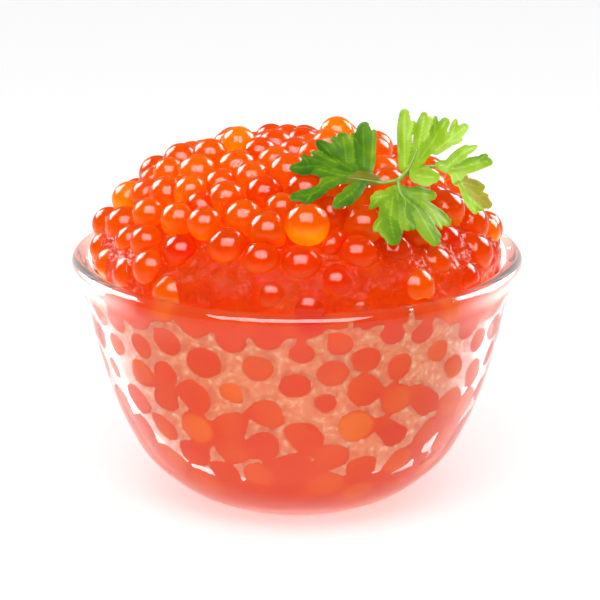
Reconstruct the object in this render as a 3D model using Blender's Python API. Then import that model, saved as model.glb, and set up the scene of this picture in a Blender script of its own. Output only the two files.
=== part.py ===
# A small glass bowl heaped with salmon roe, with one sprig of parsley on top.
# Lengths are written in millimetres and become metres when a mesh is made.
# +Z is up, the bowl stands on z = 0 and its axis is x = y = 0; the front is at -Y.

import math

import bmesh
import bpy
import numpy as np
from mathutils import Vector

MM = 0.001

# Bowl: radius and height along the wall, from the foot up and over the lip to the middle of the floor.
FOOT_RADIUS = 14.0
RIM_RADIUS = 32.5
RIM_HEIGHT = 35.4
OUTER_WALL = [(FOOT_RADIUS, 0.0), (17.7, 2.0), (22.1, 6.0), (24.7, 10.4), (27.0, 16.0), (28.9, 22.6),
              (30.2, 28.6), (31.5, 31.6), (RIM_RADIUS, 33.8)]
LIP = [(32.3, 34.9), (31.3, RIM_HEIGHT), (30.1, 35.1)]
INNER_WALL = [(29.5, 34.2), (28.8, 31.0), (27.6, 26.0), (26.1, 20.0), (23.6, 13.0), (19.9, 7.6),
              (14.0, 4.0), (7.0, 3.0), (0.0, 2.9)]
BOWL_SIDES = 44

# Heap: an uneven dome that starts just under the lip.
DOME_RADIUS = 30.4
DOME_BASE = 35.0
DOME_RISE = 18.0
DOME_SHIFT = 0.6
DIP_PLACE = (22.0, 3.0)
DIP_WIDTH = 6.5
DIP_DEPTH = 4.5

# Eggs of the roe.
EGG_RADIUS = 2.8
EGG_SPREAD = 0.2
EGG_SMALLEST = 2.4
EGG_LARGEST = 3.2
EGG_SPACING = 5.4
EGG_JITTER = 1.6
STACK_LAYERS = 11
STACK_REACH = 7
STACK_START = 6.0
WALL_PRESS = (0.6, 0.94)
SINK_MEAN = 0.25
SINK_SPREAD = 0.6
SINK_RANGE = (-0.5, 1.2)
SETTLE_STEPS = 320
NEIGHBOUR_STEPS = 8
NEIGHBOUR_REACH = 8.0
EGG_PUSH = 0.28
SKIN_REACH = 1.2
SKIN_PULL = 0.8
SEED = 11

# Eggs that stand out, each as place and radius.
MARKED_EGGS = [((1.4, -21.5, 45.2), 3.05), ((-23.7, -0.9, 43.1), 2.8), ((-18.1, -1.3, 47.1), 2.4),
               ((-8.3, 3.2, 50.2), 2.65), ((5.7, 4.5, 51.4), 2.6), ((-9.7, -14.2, 46.7), 2.75),
               ((-14.7, -9.7, 46.5), 2.6), ((-15.8, -19.7, 40.8), 2.6), ((26.6, -2.0, 38.6), 2.5),
               ((8.2, -23.0, 41.3), 2.9), ((-4.8, -24.4, 40.9), 2.8), ((-20.7, -15.0, 40.8), 2.5),
               ((-27.0, -4.1, 36.8), 2.5), ((-16.2, -14.8, 44.0), 2.7), ((-20.6, -10.4, 43.5), 2.5)]

# Solid form of the heap.
CORE_DEPTH = 2.1
CORE_TOP_DEPTH = 2.7
CORE_SHOULDER_DEPTH = 3.8
CORE_SIDES = 24
CORE_DOME_RINGS = 8
CORE_WALL_STEP = 6
DOME_EGG_SIDES = 6
DOME_EGG_RINGS = 4
WALL_EGG_SIDES = 5
WALL_EGG_RINGS = 3
GLASS_GAP = 0.35
DOME_EGG_DEPTH = 1.2
WALL_EGG_DEPTH = 0.0
LOWEST_EGG = 18.5
LEAST_EGG = 1.8

# Parsley: thickness of a leaf, its lattice and the least piece of it at an edge, and its place on the heap.
LEAF_THICKNESS = 0.45
LEAF_LATTICE = 1.75
LEAF_MARGIN = 0.2
LEAF_REST = 0.7
LEAF_WAVE = 0.35
LEAF_RIPPLE = (1.1, 0.5)
LEAF_STILL = 4.0
LOBE_BASE = 0.75
LOBE_SWELL = 0.3
LOBE_TIP = 0.35
LEAF_DROOP = 0.004
SPRIG_CLEARANCE = 0.75
SPRIG_POINT_PITCH = 0.8
SPRIG_JOINT = (13.9, -15.2, 49.8)
RIGHT_JOINT = (18.5, -14.0, 50.5)
LEAN = (0.0, -0.956, 0.292)

# Each leaflet: where it starts, the way its face looks, and its lobes in its own plane.
# A lobe runs from (u, v) to (u, v) with a half width; u is to the right and v is up the leaf.
LEAFLETS = {
    "left": (SPRIG_JOINT, (-0.05, -0.62, 0.78), [
        (-3.4, 0.2, -6.6, 1.0, 1.5), (-6.3, 1.0, -11.0, 2.2, 1.5), (-9.9, 2.5, -14.3, 3.4, 1.25),
        (-8.8, 0.4, -10.5, -0.7, 1.2), (-10.5, -1.1, -14.2, -2.1, 1.2), (-5.1, -0.4, -7.2, -2.4, 1.3),
        (-6.3, -1.8, -8.4, -3.9, 1.2), (-6.3, 2.0, -8.5, 4.2, 1.6), (-8.5, 3.8, -11.4, 5.5, 1.0),
        (-8.4, 4.2, -10.7, 7.6, 1.1), (-7.0, 3.4, -7.5, 8.0, 1.5), (-4.6, 2.3, -4.7, 9.8, 1.45)]),
    "front": (SPRIG_JOINT, (0.25, -0.75, 0.61), [
        (-0.1, -1.8, 0.0, -3.0, 1.5), (-0.7, -2.4, -1.2, -5.6, 1.9), (-1.5, -5.2, -0.8, -8.7, 1.8),
        (-1.4, -2.4, -3.4, -3.2, 1.0), (0.6, -2.2, 2.3, -3.9, 2.0), (2.3, -3.6, 5.1, -8.4, 1.4),
        (0.8, -3.6, 1.2, -6.4, 1.5), (1.7, -1.9, 4.9, -1.5, 1.2), (3.2, -2.9, 7.1, -5.2, 1.1)]),
    "upright": (SPRIG_JOINT, (0.1, -0.93, 0.34), [
        (0.9, 1.9, 1.0, 9.3, 1.05), (2.8, 4.2, 3.7, 9.0, 0.9), (3.4, 3.4, 6.7, 8.2, 1.05),
        (5.3, 4.2, 9.4, 7.5, 0.9), (1.8, 2.4, 3.4, 4.8, 1.6), (2.6, 0.7, 5.0, 0.5, 1.4)]),
    "right": (RIGHT_JOINT, (-0.1, -0.86, 0.5), [
        (1.3, 1.1, 3.2, 0.6, 0.95), (2.4, 1.0, 4.9, 3.3, 1.0), (2.9, 0.5, 7.9, 1.5, 1.05),
        (3.5, -0.2, 4.4, -1.6, 1.2), (4.1, -1.2, 6.9, -2.2, 0.85), (4.4, -1.7, 7.8, -4.6, 0.95),
        (4.3, -1.6, 6.0, -5.4, 0.8)]),
}

# Ribs: the points of its own leaflet that each one runs through on its way out from the joint.
RIBS = {"left": [(-2.5, -0.3), (-5.0, 0.1), (-8.5, 1.0)], "front": [(0.3, -1.6), (1.0, -3.0), (1.0, -4.6)],
        "upright": [(1.3, 1.4), (2.1, 2.8), (2.9, 4.6)], "right": [(-2.2, 0.7), (0.6, 1.0), (3.4, 1.0)]}
RIB_RADIUS = 0.5
JOINT_RADIUS = 0.9
RIB_SIDES = 6

COLORS = {"glass_bowl": (0.93, 0.93, 0.94), "roe_heap": (0.86, 0.13, 0.02),
          "parsley_sprig": (0.16, 0.36, 0.03)}


def smooth_line(points, steps):
    """Points on a Catmull-Rom curve through the given points, ends included."""
    knots = [np.array(point, float) for point in points]
    knots = [2 * knots[0] - knots[1]] + knots + [2 * knots[-1] - knots[-2]]
    line = []
    for before, start, end, after in zip(knots, knots[1:], knots[2:], knots[3:]):
        for step in range(steps):
            t = step / steps
            line.append(0.5 * (2 * start + (end - before) * t
                               + (2 * before - 5 * start + 4 * end - after) * t * t
                               + (3 * start - before - 3 * end + after) * t ** 3))
    line.append(knots[-2])
    return np.array(line)


def inner_wall_line():
    """The bowl's inner wall with the way into the bowl at each of its points."""
    line = smooth_line(INNER_WALL, 8)
    along = np.gradient(line, axis=0)
    inward = np.stack([along[:, 1], -along[:, 0]], axis=1)
    return line, inward / np.linalg.norm(inward, axis=1, keepdims=True)


def wall_depth(places, line, inward):
    """How far each place lies inside the bowl's wall, and the way away from the wall."""
    reach = np.hypot(places[:, 0], places[:, 1])
    flat = np.stack([reach, places[:, 2]], axis=1)
    nearest = np.argmin(((flat[:, None, :] - line[None]) ** 2).sum(axis=2), axis=1)
    depth = ((flat - line[nearest]) * inward[nearest]).sum(axis=1)
    outward = places[:, :2] / np.maximum(reach, 0.01)[:, None]
    away = np.column_stack([outward * inward[nearest, :1], inward[nearest, 1]])
    return depth, away


def dome_depth(places):
    """How far each place lies under the heap's outline, and the way out of the heap."""
    dip = ((places[:, 0] - DIP_PLACE[0]) ** 2 + (places[:, 1] - DIP_PLACE[1]) ** 2) / DIP_WIDTH ** 2
    rise = DOME_RISE - DIP_DEPTH * np.exp(-dip)
    offset = places - np.array([0.0, DOME_SHIFT, DOME_BASE])
    offset[:, 2] = np.maximum(offset[:, 2], 0.0)
    size = np.column_stack([np.full(len(places), DOME_RADIUS)] * 2 + [rise])
    share = np.maximum(np.sqrt(((offset / size) ** 2).sum(axis=1)), 0.05)
    slope = offset / size ** 2 / share[:, None]
    steepness = np.maximum(np.linalg.norm(slope, axis=1), 0.01)
    return (1.0 - share) / steepness, slope / steepness[:, None]


def leaf_frame(facing):
    """The right, up and facing directions of a leaflet."""
    front = Vector(facing).normalized()
    right = Vector((1.0, 0.0, 0.0))
    right = (right - front * right.dot(front)).normalized()
    return np.array(right), np.array(front.cross(right)), np.array(front)


def lobe_gap(u, v, lobes):
    """How far (u, v) lies outside the leaflet; less than zero is inside it."""
    gap = np.full(np.shape(u), 99.0)
    for u0, v0, u1, v1, half in lobes:
        du, dv = u1 - u0, v1 - v0
        t = np.clip(((u - u0) * du + (v - v0) * dv) / (du * du + dv * dv), 0.0, 1.0)
        width = half * (LOBE_BASE + LOBE_SWELL * np.sin(0.75 * math.pi * t) - LOBE_TIP * t ** 4)
        gap = np.minimum(gap, np.hypot(u - u0 - t * du, v - v0 - t * dv) - width)
    return gap


def leaf_surface(u, v, start, facing):
    """The place of leaf point (u, v) on its wavy middle surface, resting on the heap."""
    right, up, front = leaf_frame(facing)
    away = np.hypot(u, v)
    ripple = LEAF_WAVE * np.sin(LEAF_RIPPLE[0] * u + LEAF_RIPPLE[1] * v) * np.minimum(away / LEAF_STILL, 1.0)
    wave = ripple - LEAF_DROOP * away ** 2
    return off_the_heap(np.array(start) + np.multiply.outer(u, right) + np.multiply.outer(v, up)
                        + np.multiply.outer(wave, front))


def off_the_heap(places):
    """The places, with those that would lie in the heap drawn out onto it."""
    lean = np.array(LEAN)
    for _ in range(4):
        depth, out = dome_depth(places)
        lift = np.maximum(LEAF_REST + depth, 0.0) / np.maximum(out @ lean, 0.3)
        places = places + lift[:, None] * lean
    return places


def lattice(lobes, pitch):
    """A triangular lattice over a leaflet: its points and its triangles."""
    low_u = min(min(lobe[0], lobe[2]) - lobe[4] for lobe in lobes) - pitch
    high_u = max(max(lobe[0], lobe[2]) + lobe[4] for lobe in lobes) + pitch
    low_v = min(min(lobe[1], lobe[3]) - lobe[4] for lobe in lobes) - pitch
    high_v = max(max(lobe[1], lobe[3]) + lobe[4] for lobe in lobes) + pitch
    row_height = pitch * math.sqrt(0.75)
    columns = int((high_u - low_u) / pitch) + 2
    rows = int((high_v - low_v) / row_height) + 2
    across, down = np.meshgrid(np.arange(columns), np.arange(rows))
    u = (low_u + (across + 0.5 * (down % 2)) * pitch).ravel()
    v = (low_v + down * row_height).ravel()
    triangles = []
    for row in range(rows - 1):
        for column in range(columns - 1):
            a = row * columns + column
            b = a + columns
            if row % 2:
                triangles += [(a, a + 1, b + 1), (a, b + 1, b)]
            else:
                triangles += [(a, a + 1, b), (a + 1, b + 1, b)]
    return u, v, triangles


def clipped_leaf(lobes):
    """Flat points and triangles of a leaflet, cut from the lattice along its edge."""
    u, v, triangles = lattice(lobes, LEAF_LATTICE)
    gap = lobe_gap(u, v, lobes)
    gap = np.where(np.abs(gap) < LEAF_MARGIN, -LEAF_MARGIN, gap)
    points = []
    number = {}

    def corner(a):
        if a not in number:
            number[a] = len(points)
            points.append((u[a], v[a]))
        return number[a]

    def crossing(a, b):
        key = (min(a, b), max(a, b))
        if key not in number:
            number[key] = len(points)
            t = gap[key[0]] / (gap[key[0]] - gap[key[1]])
            points.append((u[key[0]] + t * (u[key[1]] - u[key[0]]),
                           v[key[0]] + t * (v[key[1]] - v[key[0]])))
        return number[key]

    faces = []
    for triangle in triangles:
        if min(gap[a] for a in triangle) >= 0.0:
            continue
        outline = []
        for a, b in zip(triangle, triangle[1:] + triangle[:1]):
            if gap[a] < 0.0:
                outline.append(corner(a))
            if gap[a] * gap[b] < 0.0:
                outline.append(crossing(a, b))
        faces += [(outline[0], outline[k], outline[k + 1]) for k in range(1, len(outline) - 1)]
    return np.array(points), faces


def leaf_solid(name, start, facing, lobes):
    """A thin wavy solid whose two faces are split into triangles alike."""
    flat, faces = clipped_leaf(lobes)
    middle = leaf_surface(flat[:, 0], flat[:, 1], start, facing)
    half = 0.5 * LEAF_THICKNESS * leaf_frame(facing)[2]
    count = len(middle)
    edges = {(a, b) for face in faces for a, b in zip(face, face[1:] + face[:1])}
    solid_faces = list(faces)
    solid_faces += [(c + count, b + count, a + count) for a, b, c in faces]
    for a, b in sorted(edges):
        if (b, a) not in edges:
            solid_faces += [(b, a, a + count), (b, a + count, b + count)]
    return mesh_object(name, np.vstack([middle + half, middle - half]), solid_faces)


def rib_solid(points, start, facing):
    """A closed round rib from the joint out along a leaflet."""
    flat = np.array(points)
    along = leaf_surface(flat[:, 0], flat[:, 1], start, facing)
    line = smooth_line([SPRIG_JOINT] + list(along), 2)
    places = []
    for index, place in enumerate(line):
        ahead = Vector(line[min(index + 1, len(line) - 1)] - line[max(index - 1, 0)]).normalized()
        side = ahead.cross(Vector(facing)).normalized()
        other = ahead.cross(side)
        radius = RIB_RADIUS * (1.0 - 0.25 * index / len(line))
        for step in range(RIB_SIDES):
            angle = 2 * math.pi * step / RIB_SIDES
            places.append(Vector(place) + radius * (math.cos(angle) * side + math.sin(angle) * other))
    faces = [tuple(reversed(range(RIB_SIDES)))]
    for ring in range(len(line) - 1):
        for step in range(RIB_SIDES):
            a = ring * RIB_SIDES + step
            b = ring * RIB_SIDES + (step + 1) % RIB_SIDES
            faces.append((a, b, b + RIB_SIDES, a + RIB_SIDES))
    faces.append(tuple(range(len(places) - RIB_SIDES, len(places))))
    return mesh_object("rib", places, faces)


def joint_solid():
    """The small knot where the ribs meet."""
    shape = bmesh.new()
    bmesh.ops.create_icosphere(shape, subdivisions=1, radius=JOINT_RADIUS)
    places = [corner.co + Vector(SPRIG_JOINT) for corner in shape.verts]
    faces = [tuple(corner.index for corner in face.verts) for face in shape.faces]
    shape.free()
    return mesh_object("joint", places, faces)


def sprig_points():
    """Points spread over the whole sprig, which the eggs keep clear of."""
    places = [np.array([SPRIG_JOINT])]
    for name, (start, facing, lobes) in LEAFLETS.items():
        u, v, _ = lattice(lobes, SPRIG_POINT_PITCH)
        inside = lobe_gap(u, v, lobes) < 0.2
        places.append(leaf_surface(u[inside], v[inside], start, facing))
        rib = smooth_line([places[0][0]] + list(leaf_surface(*np.array(RIBS[name]).T, start, facing)), 4)
        places.append(rib)
    return np.vstack(places)


def first_places(rng, line, inward):
    """Egg places on a loosened hexagonal stack that fills the bowl and the dome."""
    places = []
    row_gap = EGG_SPACING * math.sqrt(0.75)
    layer_gap = EGG_SPACING * math.sqrt(2.0 / 3.0)
    for layer in range(STACK_LAYERS):
        for row in range(-STACK_REACH, STACK_REACH + 1):
            for column in range(-STACK_REACH, STACK_REACH + 1):
                places.append(((column + 0.5 * (row % 2) + 0.5 * (layer % 2)) * EGG_SPACING,
                               row * row_gap + (layer % 2) * row_gap / 3, STACK_START + layer * layer_gap))
    places = np.array(places) + rng.uniform(-EGG_JITTER, EGG_JITTER, (len(places), 3))
    depth = wall_depth(places, line, inward)[0]
    low = places[:, 2] < DOME_BASE
    return places[np.where(low, depth, dome_depth(places)[0]) > 0.5 * EGG_RADIUS]


def settle_eggs():
    """Places and radii of the eggs, pushed apart, into the bowl and under the dome."""
    rng = np.random.default_rng(SEED)
    line, inward = inner_wall_line()
    marked = np.array([place for place, _ in MARKED_EGGS])
    places = first_places(rng, line, inward)
    clear = np.linalg.norm(places[:, None] - marked[None], axis=2).min(axis=1) > 1.2 * EGG_RADIUS
    places = np.vstack([marked, places[clear]])
    count = len(places)
    radii = rng.normal(EGG_RADIUS, EGG_SPREAD, count).clip(EGG_SMALLEST, EGG_LARGEST)
    radii[:len(marked)] = [radius for _, radius in MARKED_EGGS]
    sink = rng.normal(SINK_MEAN, SINK_SPREAD, count).clip(*SINK_RANGE)
    press = rng.uniform(*WALL_PRESS, count)
    sprig = sprig_points()
    for step in range(SETTLE_STEPS):
        if step % NEIGHBOUR_STEPS == 0:
            apart = np.linalg.norm(places[:, None] - places[None], axis=2)
            first, second = np.nonzero(np.triu(apart < NEIGHBOUR_REACH, 1))
            to_sprig = np.linalg.norm(places[:, None] - sprig[None], axis=2).min(axis=1)
            beside = np.nonzero(to_sprig < NEIGHBOUR_REACH)[0]
        gaps = places[first] - places[second]
        apart = np.linalg.norm(gaps, axis=1)
        push = EGG_PUSH * np.maximum(radii[first] + radii[second] - apart, 0.0) / apart
        for axis in range(3):
            move = gaps[:, axis] * push
            places[:, axis] += np.bincount(first, move, count) - np.bincount(second, move, count)
        places[beside] = clear_of_sprig(places[beside], radii[beside], sprig)
        depth, out = dome_depth(places)
        places -= drawn_to(depth, radii + sink, radii, places[:, 2] > DOME_BASE)[:, None] * out
        depth, away = wall_depth(places, line, inward)
        inwards = drawn_to(depth, press * radii, radii, places[:, 2] < DOME_BASE)
        places += np.where(places[:, 2] < RIM_HEIGHT + 1.5, inwards, 0.0)[:, None] * away
        places[:len(marked)] = marked
    return places, radii


def drawn_to(depth, wanted, radii, drawn):
    """How far eggs move in: all that lie too far out, and those just too deep draw out a little."""
    step = wanted - depth
    pull = drawn & (depth < wanted + SKIN_REACH * radii)
    return np.where(step > 0.0, step, np.where(pull, SKIN_PULL * step, 0.0))


def clear_of_sprig(places, radii, sprig):
    """The places with each egg under the sprig moved off it."""
    gaps = places[:, None] - sprig[None]
    apart = np.sqrt((gaps ** 2).sum(axis=2))
    nearest = apart.argmin(axis=1)
    rows = np.arange(len(places))
    close = apart[rows, nearest]
    push = np.maximum(radii + SPRIG_CLEARANCE - close, 0.0) / np.maximum(close, 0.1)
    return places + push[:, None] * gaps[rows, nearest]


def mesh_object(name, places, faces):
    """A new object from places in millimetres and faces."""
    mesh = bpy.data.meshes.new(name)
    mesh.from_pydata([tuple(float(value) * MM for value in place) for place in places], [], faces)
    mesh.update()
    solid = bpy.data.objects.new(name, mesh)
    bpy.context.scene.collection.objects.link(solid)
    return solid


def turned_solid(name, profile, sides):
    """A closed solid turned from a profile that starts and ends on the axis."""
    places = [(0.0, 0.0, profile[0][1])]
    for radius, height in profile[1:-1]:
        for step in range(sides):
            angle = 2 * math.pi * step / sides
            places.append((radius * math.cos(angle), radius * math.sin(angle), height))
    places.append((0.0, 0.0, profile[-1][1]))
    last = len(places) - 1
    faces = []
    for step in range(sides):
        after = (step + 1) % sides
        faces.append((0, 1 + after, 1 + step))
        for ring in range(len(profile) - 3):
            a = 1 + ring * sides
            faces.append((a + step, a + after, a + sides + after, a + sides + step))
        faces.append((last, last - sides + step, last - sides + after))
    return mesh_object(name, places, faces)


def bowl_solid():
    """The bowl, turned from the foot up the outside, over the lip and down the inside."""
    outer = smooth_line(OUTER_WALL + LIP + INNER_WALL[:1], 1)
    inner = smooth_line(INNER_WALL, 1)[1:]
    return turned_solid("glass_bowl", [(0.0, 0.0)] + [tuple(point) for point in np.vstack([outer, inner])],
                        BOWL_SIDES)


def core_solid():
    """The core of the heap: the bowl's inside and the dome, both drawn in by the core's depth."""
    line, inward = inner_wall_line()
    wall = list((line + CORE_DEPTH * inward)[-1:0:-CORE_WALL_STEP])
    wall[0][0] = 0.0
    base = wall[-1][1]
    width = DOME_RADIUS - CORE_SHOULDER_DEPTH
    height = DOME_BASE + DOME_RISE - CORE_TOP_DEPTH - base
    angles = [0.5 * math.pi * ring / CORE_DOME_RINGS for ring in range(1, CORE_DOME_RINGS)]
    dome = [(width * math.cos(angle), base + height * math.sin(angle)) for angle in angles]
    profile = [tuple(point) for point in wall] + dome + [(0.0, base + height)]
    core = turned_solid("roe_heap", profile, CORE_SIDES)
    for corner in core.data.vertices:
        if corner.co.z > base * MM:
            place = np.array([corner.co]) / MM
            depth, out = dome_depth(place)
            short = max(CORE_DEPTH - depth[0], 0.0)
            corner.co = Vector((place[0] - short * out[0]) * MM)
    return core


def egg_solid(place, radius, away, on_wall):
    """One egg with few sides: a ball in the dome, and a flattened one against the wall."""
    shape = bmesh.new()
    sides, rings = (WALL_EGG_SIDES, WALL_EGG_RINGS) if on_wall else (DOME_EGG_SIDES, DOME_EGG_RINGS)
    bmesh.ops.create_uvsphere(shape, u_segments=sides, v_segments=rings, radius=radius)
    turn = Vector(away).to_track_quat("Z", "Y").to_matrix()
    bmesh.ops.rotate(shape, matrix=turn, verts=shape.verts)
    bmesh.ops.translate(shape, vec=Vector(place), verts=shape.verts)
    places = np.array([corner.co for corner in shape.verts])
    faces = [tuple(corner.index for corner in face.verts) for face in shape.faces]
    shape.free()
    line, inward = inner_wall_line()
    depth, inwards = wall_depth(places, line, inward)
    short = np.maximum(GLASS_GAP - depth, 0.0) * (places[:, 2] < RIM_HEIGHT + 1.0)
    return mesh_object("egg", places + short[:, None] * inwards, faces)


def shown_eggs():
    """The eggs that show, as place, radius, way to the outside and whether the glass flattens them."""
    places, radii = settle_eggs()
    to_sprig = np.sqrt(((places[:, None] - sprig_points()[None]) ** 2).sum(axis=2)).min(axis=1)
    radii = np.minimum(radii, to_sprig - SPRIG_CLEARANCE)
    line, inward = inner_wall_line()
    depth, away = wall_depth(places, line, inward)
    under, out = dome_depth(places)
    shown = []
    for index, place in enumerate(places):
        if radii[index] < LEAST_EGG:
            continue
        if place[2] < DOME_BASE - 1.0:
            if depth[index] < radii[index] + WALL_EGG_DEPTH and place[2] > LOWEST_EGG:
                shown.append((place, radii[index], away[index], True))
        elif under[index] < radii[index] + DOME_EGG_DEPTH:
            shown.append((place, radii[index], out[index], False))
    return shown


def fuse(target, pieces):
    """One union of the target with all the pieces, which are then removed."""
    group = bpy.data.collections.new("pieces")
    bpy.context.scene.collection.children.link(group)
    for piece in pieces:
        bpy.context.scene.collection.objects.unlink(piece)
        group.objects.link(piece)
    union = target.modifiers.new("union", "BOOLEAN")
    union.operation = "UNION"
    union.operand_type = "COLLECTION"
    union.collection = group
    union.solver = "MANIFOLD"
    bpy.context.view_layer.update()
    evaluated = target.evaluated_get(bpy.context.evaluated_depsgraph_get())
    joined = bpy.data.meshes.new_from_object(evaluated)
    target.modifiers.remove(union)
    target.data = joined
    for piece in pieces:
        bpy.data.objects.remove(piece)
    bpy.data.collections.remove(group)


def keep_outer_skin(target):
    """Fill sealed hollows and drop loose scraps: only the largest closed skin stays."""
    shape = bmesh.new()
    shape.from_mesh(target.data)
    bmesh.ops.triangulate(shape, faces=shape.faces)
    unseen = set(shape.verts)
    skins = []
    while unseen:
        skin = {unseen.pop()}
        edge = set(skin)
        while edge:
            edge = {link.other_vert(corner) for corner in edge for link in corner.link_edges} - skin
            skin |= edge
        unseen -= skin
        skins.append(skin)
    largest = max(skins, key=len)
    scraps = [corner for skin in skins if skin is not largest for corner in skin]
    bmesh.ops.delete(shape, geom=scraps, context="VERTS")
    shape.to_mesh(target.data)
    shape.free()


def finish(solid, roughness, smooth_angle):
    """Give the solid its own material and its shading."""
    material = bpy.data.materials.new(solid.name)
    material.use_nodes = True
    shader = material.node_tree.nodes["Principled BSDF"]
    shader.inputs["Base Color"].default_value = (*COLORS[solid.name], 1.0)
    shader.inputs["Roughness"].default_value = roughness
    shader.inputs["Metallic"].default_value = 0.0
    solid.data.materials.clear()
    solid.data.materials.append(material)
    solid.data.shade_smooth()
    solid.data.set_sharp_from_angle(angle=math.radians(smooth_angle))


def build_bowl():
    finish(bowl_solid(), 0.03, 60)


def build_heap():
    heap = core_solid()
    eggs = [egg_solid(*egg) for egg in shown_eggs()]
    fuse(heap, eggs)
    keep_outer_skin(heap)
    finish(heap, 0.12, 50)


def build_parsley():
    sprig = joint_solid()
    sprig.name = "parsley_sprig"
    solids = [leaf_solid("leaflet", *leaflet) for leaflet in LEAFLETS.values()]
    solids += [rib_solid(points, *LEAFLETS[name][:2]) for name, points in RIBS.items()]
    fuse(sprig, solids)
    keep_outer_skin(sprig)
    finish(sprig, 0.5, 50)


def main():
    for thing in list(bpy.data.objects):
        bpy.data.objects.remove(thing)
    build_bowl()
    build_heap()
    build_parsley()


main()
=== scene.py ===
# A glass bowl heaped with salmon roe, with a sprig of parsley on top: the looks.
# Lengths are written in millimetres and become metres when a mesh, lamp or camera is made.

import math

import bmesh
import bpy
import numpy as np
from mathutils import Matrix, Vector

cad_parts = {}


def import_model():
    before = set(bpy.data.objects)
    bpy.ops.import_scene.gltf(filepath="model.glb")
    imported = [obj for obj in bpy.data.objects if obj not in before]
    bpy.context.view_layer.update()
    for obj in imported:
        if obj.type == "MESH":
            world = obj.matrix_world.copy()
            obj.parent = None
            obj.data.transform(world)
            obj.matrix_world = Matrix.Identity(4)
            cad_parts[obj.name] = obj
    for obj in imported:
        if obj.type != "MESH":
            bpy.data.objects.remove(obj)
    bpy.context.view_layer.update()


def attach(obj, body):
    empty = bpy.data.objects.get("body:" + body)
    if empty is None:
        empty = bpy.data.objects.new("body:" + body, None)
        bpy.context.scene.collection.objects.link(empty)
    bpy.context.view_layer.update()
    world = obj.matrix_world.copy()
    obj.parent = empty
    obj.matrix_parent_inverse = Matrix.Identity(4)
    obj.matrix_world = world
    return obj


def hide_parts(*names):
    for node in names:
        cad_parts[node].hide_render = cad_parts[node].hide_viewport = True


MM = 0.001

# Camera: the point that it looks at, from how far and how many degrees up, and its lens.
VIEW_TARGET = (0.43, 0.0, 27.92)
VIEW_DISTANCE = 450.0
VIEW_ELEVATION = 17.0
FOCAL_LENGTH = 186.84
SENSOR_WIDTH = 36.0

# Light of the surroundings: on dull surfaces, and as mirrored from the front and from the back. The back's
# light is in full where a mirrored direction of length one points this far back.
SOFT_LIGHT = 0.64
FRONT_SHINE = 0.04
BACK_SHINE = 0.15
BACK_DIRECTION = 0.6

# Soft boxes, each as name, place, aim, size and power. The shines light only what mirrors them.
KEY_LIGHT = ("key", (-20.0, -170.0, 300.0), (0.0, 0.0, 40.0), (220.0, 180.0), 0.35)
SHINE_AIM = (0.0, 0.0, 42.0)
SHINES = [("shine_front", (-20.0, -200.0, 280.0), SHINE_AIM, (380.0, 260.0), 6.0),
          ("shine_left", (-300.0, 230.0, 250.0), SHINE_AIM, (260.0, 260.0), 5.0),
          ("shine_right", (300.0, 230.0, 250.0), SHINE_AIM, (260.0, 260.0), 5.0)]

# Floor: how far it reaches from the middle, and how it fades into the surroundings.
FLOOR_HALF = 4000.0
FLOOR_COLOR = (0.93, 0.93, 0.93)
FLOOR_GLOW = 0.46
FLOOR_SHINE = 0.3
FLOOR_ROUGHNESS = 0.12

# Glass, with a painted glow of light on the lip that starts at a share of the rim's radius to each side.
GLASS_IOR = 1.33
LIP_PAINTED_GLOW = 1.2
PAINTED_LIP_COLOR = (1.0, 0.94, 0.92)
LIP_HEIGHT = 34.0
LIP_WIDTH = 1.3
LIP_SIDE_START = 2.0 / 3.0

# Surfaces of the roe: how much they bend and mirror light, and how far light spreads in them.
EGG_IOR = 1.28
EGG_SHINE = 0.25
EGG_ROUGHNESS = 0.01
EGG_CLEAR = 0.6
ROE_SCATTER = 2.0
SCATTER_COLOR = (1.0, 0.4, 0.1)
LIQUID_IOR = 1.38
LIQUID_SHINE = 0.05
LIQUID_ROUGHNESS = 0.05
PRESSED_SHINE = 0.1
PRESSED_ROUGHNESS = 0.2
CORE_COLOR = (0.95, 0.14, 0.015)
CORE_ROUGHNESS = 0.25

# Surfaces of the parsley.
LEAF_ROUGHNESS = 0.4
LEAF_SHINE = 0.05
LEAF_SCATTER = 1.0
LEAF_SCATTER_SHARE = 0.25
LEAF_SCATTER_COLOR = (0.5, 1.0, 0.2)
STEM_COLOR = (0.26, 0.44, 0.04)
STEM_SHINE = 0.15

# Fineness of the soft noise that clouds a colour, and of the noise that makes bumps.
CLOUD_DETAIL = 3.0
BUMP_DETAIL = 2.0

# Bowl: radius and height along the wall, from the foot up and over the lip to the middle of the floor.
FOOT_RADIUS = 14.0
RIM_RADIUS = 32.5
RIM_HEIGHT = 35.4
OUTER_WALL = [(FOOT_RADIUS, 0.0), (17.7, 2.0), (22.1, 6.0), (24.7, 10.4), (27.0, 16.0), (28.9, 22.6),
              (30.2, 28.6), (31.5, 31.6), (RIM_RADIUS, 33.8)]
LIP = [(32.3, 34.9), (31.3, RIM_HEIGHT), (30.1, 35.1)]
INNER_WALL = [(29.5, 34.2), (28.8, 31.0), (27.6, 26.0), (26.1, 20.0), (23.6, 13.0), (19.9, 7.6),
              (14.0, 4.0), (7.0, 3.0), (0.0, 2.9)]
BOWL_SIDES = 256
BOWL_STEPS = 8

# Heap: an uneven dome that starts just under the lip.
DOME_RADIUS = 30.4
DOME_BASE = 35.0
DOME_RISE = 18.0
DOME_SHIFT = 0.6
DIP_PLACE = (22.0, 3.0)
DIP_WIDTH = 6.5
DIP_DEPTH = 4.5

# Radii of the eggs.
EGG_RADIUS = 2.8
EGG_SPREAD = 0.2
EGG_SMALLEST = 2.4
EGG_LARGEST = 3.2

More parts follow.
